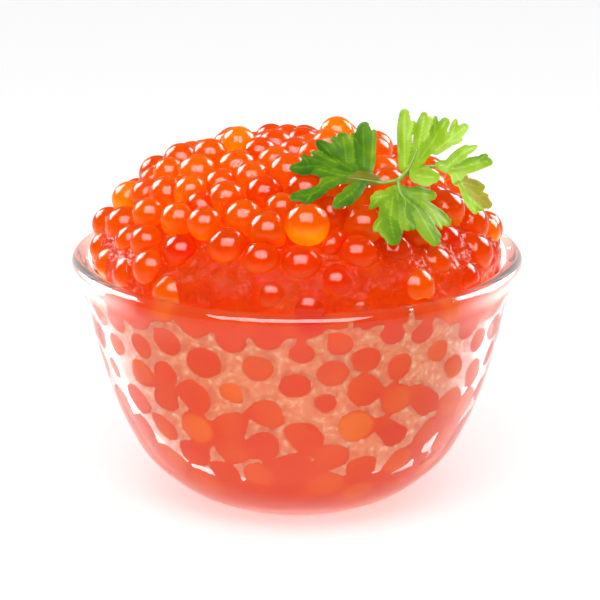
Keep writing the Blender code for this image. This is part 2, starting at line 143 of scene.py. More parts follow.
# How the eggs are stacked, and how they settle on each other, under the dome and against the glass.
EGG_SPACING = 5.4
EGG_JITTER = 1.6
STACK_LAYERS = 11
STACK_REACH = 7
STACK_START = 6.0
WALL_PRESS = (0.6, 0.94)
SINK_MEAN = 0.25
SINK_SPREAD = 0.6
SINK_RANGE = (-0.5, 1.2)
SETTLE_STEPS = 320
NEIGHBOUR_STEPS = 8
NEIGHBOUR_REACH = 8.0
EGG_PUSH = 0.28
SKIN_REACH = 1.2
SKIN_PULL = 0.8
SEED = 11

# Shape of each egg: its swells, its flat faces with rounded edges, and how many marked eggs stay round.
EGG_DIVISIONS = 4
EGG_BUMP = 0.012
EGG_BUMP_SCALE = 2.2
EGG_BUMP_START = 6.3
EGG_SQUASH_GAP = 0.02
EGG_EASE = 0.35
ROUND_EGGS = 1

# Tints of the eggs, from red at 0 to golden at 1: redder in crevices and in the lower layer by painted shade,
# and redder low at the front; more golden on the flanks, on the crown and in some backlit marked eggs by
# painted light.
# An egg is most golden at its foot, where painted light gathers.
CREVICE_REACH = 0.9
CREVICE_PAINTED_SHADE = 0.16
GLOW_START = 0.25
TINT_MEAN = 0.32
FLANK_PAINTED_LIGHT = 0.14
CROWN_PAINTED_LIGHT = 0.22
TINT_LOW_FRONT = 0.32
TINT_SPREAD = 0.1
LOW_FRONT_PLACE = (8.0, 38.0)
LOW_FRONT_SIZE = (21.0, 6.5)
LOW_FRONT_DIMMING = 0.7
CROWN_START = 46.0
CROWN_HEIGHT = 6.0
BELOW_PAINTED_SHADE = 0.15
# Painted light at each egg's foot, as tint and as glow, and the backlit marked eggs with their tints.
PAINTED_FOOT_LIGHTS = (0.15, 0.75)
BACKLIT_FOOT_TINT = 0.9
BACKLIT_PAINTED_GLOW = 0.3
BACKLIT_EGGS = {0: 0.4, 1: 0.8, 3: 0.8, 4: 0.85, 8: 0.65}
RED_EGGS = (7,)
EGG_COLORS = [(0.0, (0.70, 0.03, 0.001)), (1.0, (0.92, 0.36, 0.004)), (0.3, (0.72, 0.09, 0.001)),
              (0.6, (0.80, 0.20, 0.002))]
# Painted glow of all eggs and of the liquid.
EGG_PAINTED_GLOW = 0.16
EGG_CLOUD = 0.16
EGG_CLOUD_SCALE = 500.0

# Eggs that are shown: how deep both layers reach under the dome, and how far they go down inside the rim.
TOP_LAYER_DEPTH = 2.4
NEXT_LAYER_DEPTH = 7.0
EGGS_UNDER_RIM = 4.0

# Marked eggs, those that stand out, each as place and radius.
MARKED_EGGS = [((1.4, -21.5, 45.2), 3.05), ((-23.7, -0.9, 43.1), 2.8), ((-18.1, -1.3, 47.1), 2.4),
               ((-8.3, 3.2, 50.2), 2.65), ((5.7, 4.5, 51.4), 2.6), ((-9.7, -14.2, 46.7), 2.75),
               ((-14.7, -9.7, 46.5), 2.6), ((-15.8, -19.7, 40.8), 2.6), ((26.6, -2.0, 38.6), 2.5),
               ((8.2, -23.0, 41.3), 2.9), ((-4.8, -24.4, 40.9), 2.8), ((-20.7, -15.0, 40.8), 2.5),
               ((-27.0, -4.1, 36.8), 2.5), ((-16.2, -14.8, 44.0), 2.7), ((-20.6, -10.4, 43.5), 2.5)]

# Skin of roe that shows through the glass: eggs pressed flat on the wall with gaps between them.
WALL_SKIN_SIDES = 560
WALL_SKIN_ROWS = 150
WALL_SKIN_STEPS = 40
WALL_SKIN_END = 0.995
WALL_EGG_REACH = 1.3
INTO_GLASS = 0.05
INTO_FOOT = 0.45
GAP_DEPTH = 1.2
EGG_WALL_GAP = 0.3
SKIN_STEP = 0.6
# Painted glow of the skin, and more painted glow towards the foot.
SKIN_PAINTED_GLOW = 0.05
FOOT_PAINTED_GLOW = 0.25

# Liquid between the pressed eggs and the glass: how wide a gap it fills at each height.
WET_TOP = 0.1
WET_HEIGHT = 28.0
WET_FLOOR = 1.9
WET_FLOOR_POWER = 1.2
WET_FOOT = 8.5
WET_LIP = 33.0
WET_LIP_FADE = 0.5
WET_FADE = 2.0
WET_FULL = 2.0
WET_EDGE = 0.3
WET_TINT = 0.7

# Waves of that liquid's edge: count round the bowl, turn with height, start and size; the collar's are
# count and start alone.
WET_WAVES = [(5, 0.31, 0.0, 1.0), (9, -0.47, 1.7, 1.0), (14, 0.8, 4.0, 1.0), (23, -1.1, 2.2, 0.7)]
WET_WAVE = 0.479
WET_SPREAD = 0.35
WET_SPREAD_LOW = 3.0
WET_COLLAR = 31.4
COLLAR_WAVES = [(4, 0.6), (7, 2.9)]
COLLAR_WAVE = 0.9

# Colours of the pressed eggs and of the gaps between them, each as place and colour, with their clouds; the
# gaps' pale end is painted highlight, for light that the air gaps reflect.
SKIN_CLOUD = 0.5
SKIN_CLOUD_SCALE = 130.0
GAP_CLOUD = 1.2
GAP_CLOUD_SCALE = 1000.0
GAP_EDGE = 0.08
PRESSED_COLORS = [(0.2, (0.64, 0.02, 0.001)), (1.0, (0.78, 0.15, 0.005)), (0.6, (0.68, 0.05, 0.001))]
GAP_COLOR_AND_HIGHLIGHT_STOPS = [(0.2, (0.68, 0.06, 0.01)), (1.0, (0.86, 0.50, 0.34)), (0.45, (0.70, 0.12, 0.03)),
              (0.7, (0.74, 0.21, 0.07))]
GAP_SHARE = 0.05

# Core of the dome, under its two layers of eggs.
CORE_DEPTH = 5.0
CORE_SKIRT = 1.0
CORE_SIDES = 216
CORE_RINGS = 72
SKIN_PASSES = 3

# Liquid between the eggs: how deep it stands, its ripples and colour, and how it climbs the eggs.
LIQUID_DEPTH = 0.7
LIQUID_RISE = 9.0
LIQUID_SINK = 3.2
LIQUID_BEHIND = 1.4
LIQUID_RIPPLE = 0.15
RIPPLE_ACROSS = (0.9, 0.4)
RIPPLE_DOWN = (-0.7, 1.3, 2.0)
LIQUID_SIDE = 4.0
LIQUID_TOP = 0.5
LIQUID_TINT = -0.12
LIQUID_CLOUD = 0.35
LIQUID_CLOUD_SCALE = 220.0
LIQUID_BUMP = 0.9
LIQUID_BUMP_SCALE = 700.0
LIQUID_REACH = 1.2
LIQUID_CLIMB = 0.55
LIQUID_COVER = 0.68

# Parsley: thickness of a leaf, its lattice and the least piece of it at an edge, and its place on the heap.
LEAF_THICKNESS = 0.3
LEAF_LATTICE = 0.24
LEAF_MARGIN = 0.03
LEAF_REST = 0.7
LEAF_WAVE = 0.35
LEAF_RIPPLE = (1.1, 0.5)
LEAF_STILL = 4.0
LOBE_BASE = 0.75
LOBE_SWELL = 0.3
LOBE_TIP = 0.35
LEAF_DROOP = 0.004
SPRIG_CLEARANCE = 0.75
SPRIG_POINT_PITCH = 0.8
SPRIG_JOINT = (13.9, -15.2, 49.8)
RIGHT_JOINT = (18.5, -14.0, 50.5)
LEAN = (0.0, -0.956, 0.292)
OFF_THE_LEAF = 99.0

# Leaf colours from the dark leaflets to the pale ones, each leaflet's place among them, and what shifts it:
# veins, painted shade of a fold that darkens one side of each lobe's midrib and lightens the other, and the
# lobe itself.
LEAF_COLORS = [(0.0, (0.035, 0.15, 0.001)), (1.0, (0.52, 0.80, 0.12)), (0.35, (0.14, 0.32, 0.002)),
               (0.7, (0.35, 0.55, 0.02))]
LEAF_TONES = {"left": 0.21, "front": 0.46, "upright": 0.70, "right": 0.69}
LEAF_CLOUD = 0.65
LEAF_CLOUD_SCALE = 350.0
VEIN_WIDTH = 0.09
VEIN_TONE = 0.28
VEIN_FADE = 0.3
FOLD_PAINTED_SHADE = 0.16
LOBE_TONE = 0.1
LOBE_TONE_STEP = 2.6
LEAF_EDGE = 0.25
LEAF_EDGE_LEAST = 0.15
LEAF_BUMP = 0.15
UNDERSIDE_TONE = 0.25
BROWN_LOBES = {"left": (0,), "right": (4, 5)}
BROWN = (0.42, 0.15, 0.01)

# Small teeth of the leaflets' edges, written as their lobes are.
TEETH = {
    "left": [(-3.7, 1.9, -3.2, 8.7, 0.5), (-12.2, 3.0, -13.0, 5.0, 0.6), (-7.6, 6.0, -9.0, 8.0, 0.5),
             (-12.0, -1.6, -12.8, -3.2, 0.6), (-10.0, 3.6, -12.6, 4.6, 0.5), (-5.3, 6.5, -6.2, 8.8, 0.5)],
    "front": [(-2.6, -3.0, -3.8, -4.4, 0.6), (4.0, -6.0, 5.9, -7.6, 0.55), (-2.6, -6.2, -3.2, -7.6, 0.55),
              (5.2, -4.4, 6.2, -6.2, 0.5), (1.0, -5.4, 2.2, -6.8, 0.5)],
    "upright": [(4.2, 5.6, 4.6, 8.8, 0.3), (7.6, 6.3, 8.1, 8.3, 0.5), (5.2, 6.6, 5.3, 8.8, 0.5),
                (1.4, 5.8, 2.2, 8.0, 0.5), (7.2, 5.4, 8.8, 5.8, 0.5)],
    "right": [(4.4, 2.6, 6.2, 3.6, 0.5), (6.4, 1.4, 7.6, 2.4, 0.5), (6.0, -3.2, 7.6, -3.4, 0.5),
              (5.4, -3.6, 7.0, -5.2, 0.45)],
}

# Each leaflet: where it starts, the way its face looks, and its lobes in its own plane.
# A lobe runs from (u, v) to (u, v) with a half width; u is to the right and v is up the leaf.
LEAFLETS = {
    "left": (SPRIG_JOINT, (-0.05, -0.62, 0.78), [
        (-3.4, 0.2, -6.6, 1.0, 1.5), (-6.3, 1.0, -11.0, 2.2, 1.5), (-9.9, 2.5, -14.3, 3.4, 1.25),
        (-8.8, 0.4, -10.5, -0.7, 1.2), (-10.5, -1.1, -14.2, -2.1, 1.2), (-5.1, -0.4, -7.2, -2.4, 1.3),
        (-6.3, -1.8, -8.4, -3.9, 1.2), (-6.3, 2.0, -8.5, 4.2, 1.6), (-8.5, 3.8, -11.4, 5.5, 1.0),
        (-8.4, 4.2, -10.7, 7.6, 1.1), (-7.0, 3.4, -7.5, 8.0, 1.5), (-4.6, 2.3, -4.7, 9.8, 1.45)]),
    "front": (SPRIG_JOINT, (0.25, -0.75, 0.61), [
        (-0.1, -1.8, 0.0, -3.0, 1.5), (-0.7, -2.4, -1.2, -5.6, 1.9), (-1.5, -5.2, -0.8, -8.7, 1.8),
        (-1.4, -2.4, -3.4, -3.2, 1.0), (0.6, -2.2, 2.3, -3.9, 2.0), (2.3, -3.6, 5.1, -8.4, 1.4),
        (0.8, -3.6, 1.2, -6.4, 1.5), (1.7, -1.9, 4.9, -1.5, 1.2), (3.2, -2.9, 7.1, -5.2, 1.1)]),
    "upright": (SPRIG_JOINT, (0.1, -0.93, 0.34), [
        (0.9, 1.9, 1.0, 9.3, 1.05), (2.8, 4.2, 3.7, 9.0, 0.9), (3.4, 3.4, 6.7, 8.2, 1.05),
        (5.3, 4.2, 9.4, 7.5, 0.9), (1.8, 2.4, 3.4, 4.8, 1.6), (2.6, 0.7, 5.0, 0.5, 1.4)]),
    "right": (RIGHT_JOINT, (-0.1, -0.86, 0.5), [
        (1.3, 1.1, 3.2, 0.6, 0.95), (2.4, 1.0, 4.9, 3.3, 1.0), (2.9, 0.5, 7.9, 1.5, 1.05),
        (3.5, -0.2, 4.4, -1.6, 1.2), (4.1, -1.2, 6.9, -2.2, 0.85), (4.4, -1.7, 7.8, -4.6, 0.95),
        (4.3, -1.6, 6.0, -5.4, 0.8)]),
}

# Ribs: the points of its own leaflet that each one runs through on its way out from the joint.
RIBS = {"left": [(-2.5, -0.3), (-5.0, 0.1), (-8.5, 1.0)], "front": [(0.3, -1.6), (1.0, -3.0), (1.0, -4.6)],
        "upright": [(1.3, 1.4), (2.1, 2.8), (2.9, 4.6)], "right": [(-2.2, 0.7), (0.6, 1.0), (3.4, 1.0)]}
RIB_RADIUS = 0.3
RIB_TAPER = 0.5
RIB_SIDES = 16
RIB_STEPS = 8


def smooth_line(points, steps):
    """Points on a Catmull-Rom curve through the given points, ends included."""
    knots = [np.array(point, float) for point in points]
    knots = [2 * knots[0] - knots[1]] + knots + [2 * knots[-1] - knots[-2]]
    line = []
    for before, start, end, after in zip(knots, knots[1:], knots[2:], knots[3:]):
        for step in range(steps):
            t = step / steps
            line.append(0.5 * (2 * start + (end - before) * t
                               + (2 * before - 5 * start + 4 * end - after) * t * t
                               + (3 * start - before - 3 * end + after) * t ** 3))
    line.append(knots[-2])
    return np.array(line)


def inner_wall_line():
    """The bowl's inner wall with the way into the bowl at each of its points."""
    line = smooth_line(INNER_WALL, 8)
    along = np.gradient(line, axis=0)
    inward = np.stack([along[:, 1], -along[:, 0]], axis=1)
    return line, inward / np.linalg.norm(inward, axis=1, keepdims=True)


def wall_depth(places, line, inward):
    """How far each place lies inside the bowl's wall, and the way away from the wall."""
    reach = np.hypot(places[:, 0], places[:, 1])
    flat = np.stack([reach, places[:, 2]], axis=1)
    nearest = np.argmin(((flat[:, None, :] - line[None]) ** 2).sum(axis=2), axis=1)
    depth = ((flat - line[nearest]) * inward[nearest]).sum(axis=1)
    outward = places[:, :2] / np.maximum(reach, 0.01)[:, None]
    away = np.column_stack([outward * inward[nearest, :1], inward[nearest, 1]])
    return depth, away


def dome_depth(places):
    """How far each place lies under the heap's outline, and the way out of the heap."""
    dip = ((places[:, 0] - DIP_PLACE[0]) ** 2 + (places[:, 1] - DIP_PLACE[1]) ** 2) / DIP_WIDTH ** 2
    rise = DOME_RISE - DIP_DEPTH * np.exp(-dip)
    offset = places - np.array([0.0, DOME_SHIFT, DOME_BASE])
    offset[:, 2] = np.maximum(offset[:, 2], 0.0)
    size = np.column_stack([np.full(len(places), DOME_RADIUS)] * 2 + [rise])
    share = np.maximum(np.sqrt(((offset / size) ** 2).sum(axis=1)), 0.05)
    slope = offset / size ** 2 / share[:, None]
    steepness = np.maximum(np.linalg.norm(slope, axis=1), 0.01)
    return (1.0 - share) / steepness, slope / steepness[:, None]


def leaf_frame(facing):
    """The right, up and facing directions of a leaflet."""
    front = Vector(facing).normalized()
    right = Vector((1.0, 0.0, 0.0))
    right = (right - front * right.dot(front)).normalized()
    return np.array(right), np.array(front.cross(right)), np.array(front)


def leaf_surface(u, v, start, facing):
    """The place of leaf point (u, v) on its wavy middle surface, resting on the heap."""
    right, up, front = leaf_frame(facing)
    away = np.hypot(u, v)
    ripple = LEAF_WAVE * np.sin(LEAF_RIPPLE[0] * u + LEAF_RIPPLE[1] * v) * np.minimum(away / LEAF_STILL, 1.0)
    wave = ripple - LEAF_DROOP * away ** 2
    return off_the_heap(np.array(start) + np.multiply.outer(u, right) + np.multiply.outer(v, up)
                        + np.multiply.outer(wave, front))


def off_the_heap(places):
    """The places, with those that would lie in the heap drawn out onto it."""
    lean = np.array(LEAN)
    for _ in range(4):
        depth, out = dome_depth(places)
        lift = np.maximum(LEAF_REST + depth, 0.0) / np.maximum(out @ lean, 0.3)
        places = places + lift[:, None] * lean
    return places


def lattice(lobes, pitch):
    """A triangular lattice over a leaflet: its points and its triangles."""
    low_u = min(min(lobe[0], lobe[2]) - lobe[4] for lobe in lobes) - pitch
    high_u = max(max(lobe[0], lobe[2]) + lobe[4] for lobe in lobes) + pitch
    low_v = min(min(lobe[1], lobe[3]) - lobe[4] for lobe in lobes) - pitch
    high_v = max(max(lobe[1], lobe[3]) + lobe[4] for lobe in lobes) + pitch
    row_height = pitch * math.sqrt(0.75)
    columns = int((high_u - low_u) / pitch) + 2
    rows = int((high_v - low_v) / row_height) + 2
    across, down = np.meshgrid(np.arange(columns), np.arange(rows))
    u = (low_u + (across + 0.5 * (down % 2)) * pitch).ravel()
    v = (low_v + down * row_height).ravel()
    triangles = []
    for row in range(rows - 1):
        for column in range(columns - 1):
            a = row * columns + column
            b = a + columns
            if row % 2:
                triangles += [(a, a + 1, b + 1), (a, b + 1, b)]
            else:
                triangles += [(a, a + 1, b), (a + 1, b + 1, b)]
    return u, v, triangles


def sprig_points():
    """Points spread over the whole sprig, which the eggs keep clear of."""
    places = [np.array([SPRIG_JOINT])]
    for name, (start, facing, lobes) in LEAFLETS.items():
        u, v, _ = lattice(lobes, SPRIG_POINT_PITCH)
        inside = lobe_gap(u, v, lobes) < 0.2
        places.append(leaf_surface(u[inside], v[inside], start, facing))
        rib = smooth_line([places[0][0]] + list(leaf_surface(*np.array(RIBS[name]).T, start, facing)), 4)
        places.append(rib)
    return np.vstack(places)


def first_places(rng, line, inward):
    """Egg places on a loosened hexagonal stack that fills the bowl and the dome."""
    places = []
    row_gap = EGG_SPACING * math.sqrt(0.75)
    layer_gap = EGG_SPACING * math.sqrt(2.0 / 3.0)
    for layer in range(STACK_LAYERS):
        for row in range(-STACK_REACH, STACK_REACH + 1):
            for column in range(-STACK_REACH, STACK_REACH + 1):
                places.append(((column + 0.5 * (row % 2) + 0.5 * (layer % 2)) * EGG_SPACING,
                               row * row_gap + (layer % 2) * row_gap / 3, STACK_START + layer * layer_gap))
    places = np.array(places) + rng.uniform(-EGG_JITTER, EGG_JITTER, (len(places), 3))
    depth = wall_depth(places, line, inward)[0]
    low = places[:, 2] < DOME_BASE
    return places[np.where(low, depth, dome_depth(places)[0]) > 0.5 * EGG_RADIUS]


def settle_eggs():
    """Places and radii of the eggs, pushed apart, into the bowl and under the dome."""
    rng = np.random.default_rng(SEED)
    line, inward = inner_wall_line()
    marked = np.array([place for place, _ in MARKED_EGGS])
    places = first_places(rng, line, inward)
    clear = np.linalg.norm(places[:, None] - marked[None], axis=2).min(axis=1) > 1.2 * EGG_RADIUS
    places = np.vstack([marked, places[clear]])
    count = len(places)
    radii = rng.normal(EGG_RADIUS, EGG_SPREAD, count).clip(EGG_SMALLEST, EGG_LARGEST)
    radii[:len(marked)] = [radius for _, radius in MARKED_EGGS]
    sink = rng.normal(SINK_MEAN, SINK_SPREAD, count).clip(*SINK_RANGE)
    press = rng.uniform(*WALL_PRESS, count)
    sprig = sprig_points()
    for step in range(SETTLE_STEPS):
        if step % NEIGHBOUR_STEPS == 0:
            apart = np.linalg.norm(places[:, None] - places[None], axis=2)
            first, second = np.nonzero(np.triu(apart < NEIGHBOUR_REACH, 1))
            to_sprig = np.linalg.norm(places[:, None] - sprig[None], axis=2).min(axis=1)
            beside = np.nonzero(to_sprig < NEIGHBOUR_REACH)[0]
        gaps = places[first] - places[second]
        apart = np.linalg.norm(gaps, axis=1)
        push = EGG_PUSH * np.maximum(radii[first] + radii[second] - apart, 0.0) / apart
        for axis in range(3):
            move = gaps[:, axis] * push
            places[:, axis] += np.bincount(first, move, count) - np.bincount(second, move, count)
        places[beside] = clear_of_sprig(places[beside], radii[beside], sprig)
        depth, out = dome_depth(places)
        places -= drawn_to(depth, radii + sink, radii, places[:, 2] > DOME_BASE)[:, None] * out
        depth, away = wall_depth(places, line, inward)
        inwards = drawn_to(depth, press * radii, radii, places[:, 2] < DOME_BASE)
        places += np.where(places[:, 2] < RIM_HEIGHT + 1.5, inwards, 0.0)[:, None] * away
        places[:len(marked)] = marked
    return places, radii


def drawn_to(depth, wanted, radii, drawn):
    """How far eggs move in: all that lie too far out, and those just too deep draw out a little."""
    step = wanted - depth
    pull = drawn & (depth < wanted + SKIN_REACH * radii)
    return np.where(step > 0.0, step, np.where(pull, SKIN_PULL * step, 0.0))


def clear_of_sprig(places, radii, sprig):
    """The places with each egg under the sprig moved off it."""
    gaps = places[:, None] - sprig[None]
    apart = np.sqrt((gaps ** 2).sum(axis=2))
    nearest = apart.argmin(axis=1)
    rows = np.arange(len(places))
    close = apart[rows, nearest]
    push = np.maximum(radii + SPRIG_CLEARANCE - close, 0.0) / np.maximum(close, 0.1)
    return places + push[:, None] * gaps[rows, nearest]


def along_lobe(u, v, lobe):
    """How far along a lobe's midrib (u, v) lies, from 0 to 1, and how far away from it."""
    u0, v0, u1, v1, _ = lobe
    du, dv = u1 - u0, v1 - v0
    t = np.clip(((u - u0) * du + (v - v0) * dv) / (du * du + dv * dv), 0.0, 1.0)
    return t, np.hypot(u - u0 - t * du, v - v0 - t * dv)


def lobe_field(u, v, lobes):
    """How far (u, v) lies outside the leaflet, and how far from the nearest lobe's midrib."""
    gap = np.full(np.shape(u), OFF_THE_LEAF)
    rib = np.full(np.shape(u), OFF_THE_LEAF)
    for lobe in lobes:
        t, away = along_lobe(u, v, lobe)
        width = lobe[4] * (LOBE_BASE + LOBE_SWELL * np.sin(0.75 * math.pi * t) - LOBE_TIP * t ** 4)
        gap = np.minimum(gap, away - width)
        rib = np.minimum(rib, away)
    return gap, rib


def lobe_gap(u, v, lobes):
    """How far (u, v) lies outside the leaflet; less than zero is inside it."""
    return lobe_field(u, v, lobes)[0]


def clipped_leaf(lobes):
    """Flat points and triangles of a leaflet, cut from the lattice along its edge."""
    u, v, triangles = lattice(lobes, LEAF_LATTICE)
    gap = lobe_gap(u, v, lobes)
    gap = np.where(np.abs(gap) < LEAF_MARGIN, -LEAF_MARGIN, gap)
    points = []
    number = {}

    def corner(a):
        if a not in number:
            number[a] = len(points)
            points.append((u[a], v[a]))
        return number[a]

    def crossing(a, b):
        key = (min(a, b), max(a, b))
        if key not in number:
            number[key] = len(points)
            t = gap[key[0]] / (gap[key[0]] - gap[key[1]])
            points.append((u[key[0]] + t * (u[key[1]] - u[key[0]]),
                           v[key[0]] + t * (v[key[1]] - v[key[0]])))
        return number[key]

    faces = []
    for triangle in triangles:
        if min(gap[a] for a in triangle) >= 0.0:
            continue
        outline = []
        for a, b in zip(triangle, triangle[1:] + triangle[:1]):
            if gap[a] < 0.0:
                outline.append(corner(a))
            if gap[a] * gap[b] < 0.0:
                outline.append(crossing(a, b))
        faces += [(outline[0], outline[k], outline[k + 1]) for k in range(1, len(outline) - 1)]
    return np.array(points), faces


def mesh_object(name, places, faces):
    """A new smooth object from places in millimetres and faces, riding on the body."""
    mesh = bpy.data.meshes.new(name)
    mesh.from_pydata((np.asarray(places, float) * MM).tolist(), [], faces)
    mesh.update()
    mesh.shade_smooth()
    piece = bpy.data.objects.new(name, mesh)
    bpy.context.scene.collection.objects.link(piece)
    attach(piece, "root")
    return piece


def paint(piece, name, values):
    """Keep one number for each corner of a piece, for its material to read."""
    attribute = piece.data.attributes.new(name, "FLOAT", "POINT")
    attribute.data.foreach_set("value", np.asarray(values, np.float32))


def band_faces(rows, sides):
    """The faces between rings of points, each ring joined to the next."""
    return [(row * sides + step, row * sides + (step + 1) % sides,
             (row + 1) * sides + (step + 1) % sides, (row + 1) * sides + step)
            for row in range(rows - 1) for step in range(sides)]


def turned_piece(name, profile, sides):
    """A turned surface from a profile that starts and ends on the axis."""
    angles = np.linspace(0.0, 2 * math.pi, sides, endpoint=False)
    rings = [np.column_stack([radius * np.cos(angles), radius * np.sin(angles), np.full(sides, height)])
             for radius, height in profile[1:-1]]
    places = np.vstack([[(0.0, 0.0, profile[0][1])]] + rings + [[(0.0, 0.0, profile[-1][1])]])
    last = len(places) - 1
    faces = []
    for step in range(sides):
        after = (step + 1) % sides
        faces.append((0, 1 + after, 1 + step))
        for ring in range(len(profile) - 3):
            a = 1 + ring * sides
            faces.append((a + step, a + after, a + sides + after, a + sides + step))
        faces.append((last, last - sides + step, last - sides + after))
    return mesh_object(name, places, faces)


def glass_piece():
    """The bowl, turned from the foot up the outside, over the lip and down the inside."""
    outer = smooth_line(OUTER_WALL + LIP + INNER_WALL[:1], BOWL_STEPS)
    inner = smooth_line(INNER_WALL, BOWL_STEPS)[1:]
    profile = [(0.0, 0.0)] + [tuple(point) for point in np.vstack([outer, inner])]
    bowl = turned_piece("clear_bowl", profile, BOWL_SIDES)
    x, _, z = np.array([corner.co for corner in bowl.data.vertices]).T / MM
    # The lip's sides carry a painted glow.
    side = np.clip((np.abs(x) / RIM_RADIUS - LIP_SIDE_START) / (1.0 - LIP_SIDE_START), 0.0, 1.0)
    paint(bowl, "lip", side * np.exp(-((z - LIP_HEIGHT) / LIP_WIDTH) ** 2))
    return bowl


def unit_egg():
    """A round ball of unit radius: its places and its faces."""
    shape = bmesh.new()
    bmesh.ops.create_icosphere(shape, subdivisions=EGG_DIVISIONS, radius=1.0)
    places = np.array([corner.co for corner in shape.verts])
    faces = np.array([[corner.index for corner in face.verts] for face in shape.faces])
    shape.free()
    return places, faces


def above_liquid(places, radii):
    """Which eggs stand out of the liquid, and not by a hair."""
    return dome_depth(places)[0] - radii < liquid_depth(places) - LIQUID_COVER


def squashed_egg(index, ball, places, radii, line, inward, rng):
    """One egg, flattened where it meets its neighbours and the glass, and how close each corner is to them.

    The first marked egg stays round, and the eggs beside it give way.
    """
    swell = np.sin(ball @ rng.normal(0.0, EGG_BUMP_SCALE, 3) + rng.uniform(0.0, EGG_BUMP_START))
    bumps = 1.0 + EGG_BUMP * swell
    corners = places[index] + ball * radii[index] * bumps[:, None]
    gaps = places - places[index]
    apart = np.linalg.norm(gaps, axis=1)
    near = np.nonzero((apart > 0.0) & (apart < radii + radii[index]))[0]
    if index < ROUND_EGGS:
        near = near[near < ROUND_EGGS]
    for other in near:
        way = gaps[other] / apart[other]
        middle = 0.5 * (apart[other] + radii[index] - radii[other])
        if other < ROUND_EGGS <= index:
            middle = apart[other] - radii[other]
        past = (corners - places[index]) @ way - middle + EGG_SQUASH_GAP
        corners = corners - 0.5 * (past + np.hypot(past, EGG_EASE))[:, None] * way
    around = np.nonzero((apart > 0.0) & (apart < radii + radii[index] + CREVICE_REACH))[0]
    clearance = np.full(len(corners), CREVICE_REACH)
    for other in around:
        clearance = np.minimum(clearance, np.linalg.norm(corners - places[other], axis=1) - radii[other])
    depth, away = wall_depth(corners, line, inward)
    short = np.where(corners[:, 2] < RIM_HEIGHT, np.maximum(EGG_WALL_GAP - depth, 0.0), 0.0)
    return corners + short[:, None] * away, 1.0 - np.clip(clearance / CREVICE_REACH, 0.0, 1.0)


def egg_piece(name, chosen, places, radii, tints, glows):
    """Many eggs as one mesh, each with its own tint: golden below by painted light, red by painted shade in
    the crevices.
    """
    ball, triangles = unit_egg()
    line, inward = inner_wall_line()
    rng = np.random.default_rng(SEED + 1)
    eggs = [squashed_egg(index, ball, places, radii, line, inward, rng) for index in chosen]
    faces = np.vstack([triangles + count * len(ball) for count in range(len(chosen))])
    piece = mesh_object(name, np.vstack([corners for corners, _ in eggs]), faces.tolist())
    # Painted light gathers at each egg's foot, and painted shade reddens it where it nears its neighbours.
    gathered = np.clip(GLOW_START - ball[:, 2], 0.0, 1.0)
    shades = [tints[index] + glows[index] * gathered - CREVICE_PAINTED_SHADE * near
              for index, (_, near) in zip(chosen, eggs)]
    paint(piece, "tint", np.concatenate(shades))
    light = [EGG_PAINTED_GLOW + (BACKLIT_PAINTED_GLOW if index in BACKLIT_EGGS else 0.0) * gathered for index in chosen]
    paint(piece, "glow", np.concatenate(light))
    return piece


def wet_depth(wall):
    """How wide a gap between egg and glass the liquid fills: thin at the top, all but islands at the foot."""
    x, y, z = wall.T
    angle = np.arctan2(y, x)
    wave = sum(size * np.sin(count * angle + turn * z + start) for count, turn, start, size in WET_WAVES)
    low = np.clip((WET_HEIGHT - z) / WET_HEIGHT, 0.0, 1.0)
    foot = np.clip((WET_FOOT - z) / WET_FADE, 0.0, 1.0)
    collar = WET_COLLAR + COLLAR_WAVE * sum(np.sin(count * angle + start) for count, start in COLLAR_WAVES)
    high = np.clip((z - collar) / WET_FADE, 0.0, 1.0) + np.clip((z - WET_LIP) / WET_LIP_FADE, 0.0, 1.0)
    wet = WET_TOP + WET_FLOOR * low ** WET_FLOOR_POWER + WET_FULL * (high + foot)
    return wet + WET_WAVE * wave * np.minimum(WET_SPREAD + WET_SPREAD_LOW * low + high, 1.0)


def liquid_piece(places, radii):
    """The skin of the liquid between the eggs, drawn up round each egg that it touches."""
    liquid = inner_dome("roe_liquid", liquid_depth, LIQUID_TOP)
    corners = np.array([corner.co for corner in liquid.data.vertices]) / MM
    depth, out = dome_depth(corners)
    low = places[:, 2] < DOME_BASE + 2.0 * LIQUID_RISE
    near = np.nonzero(low & (dome_depth(places)[0] < radii + TOP_LAYER_DEPTH))[0]
    clearance = np.full(len(corners), LIQUID_REACH)
    for index in near:
        away = np.linalg.norm(corners - places[index], axis=1)
        clearance = np.minimum(clearance, np.abs(away - radii[index]))
    lift = LIQUID_CLIMB * (1.0 - clearance / LIQUID_REACH) ** 2
    for corner, place in zip(liquid.data.vertices, corners + np.minimum(lift, depth)[:, None] * out):
        corner.co = place * MM
    return liquid


def turned_places(flat):
    """Points (radius, height) turned round the axis, ring after ring."""
    angles = np.linspace(0.0, 2 * math.pi, WALL_SKIN_SIDES, endpoint=False)
    turn = np.column_stack([np.cos(angles), np.sin(angles)])
    heights = np.repeat(flat[:, None, 1:], WALL_SKIN_SIDES, 1)
    return np.concatenate([flat[:, None, :1] * turn[None], heights], axis=2).reshape(-1, 3)


def wall_lattice():
    """Points all over the inner wall, and the way into the bowl at each."""
    line = smooth_line(INNER_WALL, WALL_SKIN_STEPS)
    steps = np.concatenate([[0.0], np.cumsum(np.hypot(*np.diff(line, axis=0).T))])
    along = np.linspace(0.0, steps[-1] * WALL_SKIN_END, WALL_SKIN_ROWS)
    flat = np.column_stack([np.interp(along, steps, line[:, 0]), np.interp(along, steps, line[:, 1])])
    slope = np.gradient(flat, axis=0)
    into = np.column_stack([slope[:, 1], -slope[:, 0]])
    into /= np.linalg.norm(into, axis=1, keepdims=True)
    return turned_places(flat), turned_places(into)


